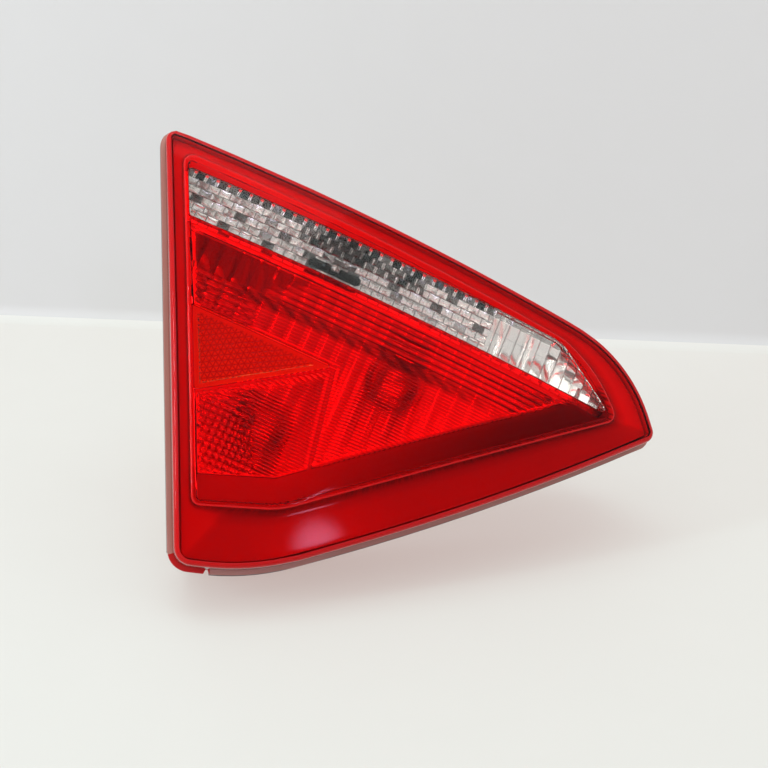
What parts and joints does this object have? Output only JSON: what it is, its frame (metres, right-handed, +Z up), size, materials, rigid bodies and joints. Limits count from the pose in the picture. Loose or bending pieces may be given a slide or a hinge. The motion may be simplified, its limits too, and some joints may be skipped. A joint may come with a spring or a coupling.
{
  "type": "tail light cluster",
  "caption": "Triangular boot-lid tail lamp with a crowned red lens, a clear reversing strip, an inset reflex triangle, a black rear housing, a bulb carrier and threaded studs.",
  "frame": {"origin": "where the thread of the lower mounting stud leaves its seal, on the plane where the lamp meets the lid", "axes": "+X across the lens towards its pointed end, +Z up, -Y out of the lens; the lens leans back by 30 degrees as on a sloping boot lid"},
  "size_m": [0.2248, 0.1478, 0.1894],
  "materials": {
    "red_lens": "clear red acrylic, polished",
    "clear_lens": "clear acrylic, polished",
    "reflex_red": "orange-red acrylic with prisms behind",
    "bright_trim": "metallised plastic",
    "aluminised": "vacuum-metallised reflector",
    "zinc": "zinc plated",
    "housing_black": "moulded black plastic",
    "foam": "closed-cell foam",
    "rubber_black": "moulded rubber",
    "carrier_grey": "moulded grey plastic",
    "brass_strip": "stamped brass",
    "brass_base": "nickel-brass cap",
    "wedge_white": "moulded wedge base",
    "bulb_glass": "blown glass",
    "filament_wire": "tungsten wire"
  },
  "bodies": {
    "root": {"outer_lens": "red_lens", "reversing_window": "clear_lens", "reflex_reflector": "reflex_red", "inner_bezel": "bright_trim", "reverse_reflector": "aluminised", "tail_reflector": "aluminised", "fog_reflector": "aluminised", "reflector_screws": "zinc", "rear_housing": "housing_black", "mounting_studs": "zinc", "stud_seals": "foam", "body_gasket": "foam", "breather_caps": "rubber_black", "bulb_carrier": "carrier_grey", "carrier_gasket": "rubber_black", "tail_strip": "brass_strip", "fog_strip": "brass_strip", "ground_strip": "brass_strip", "reverse_strip": "brass_strip", "tail_bulb_base": "brass_base", "fog_bulb_base": "brass_base", "reverse_bulb_base": "wedge_white", "tail_bulb_glass": "bulb_glass", "fog_bulb_glass": "bulb_glass", "reverse_bulb_glass": "bulb_glass", "tail_bulb_filament": "filament_wire", "fog_bulb_filament": "filament_wire", "reverse_bulb_filament": "filament_wire"}
  },
  "joints": []
}
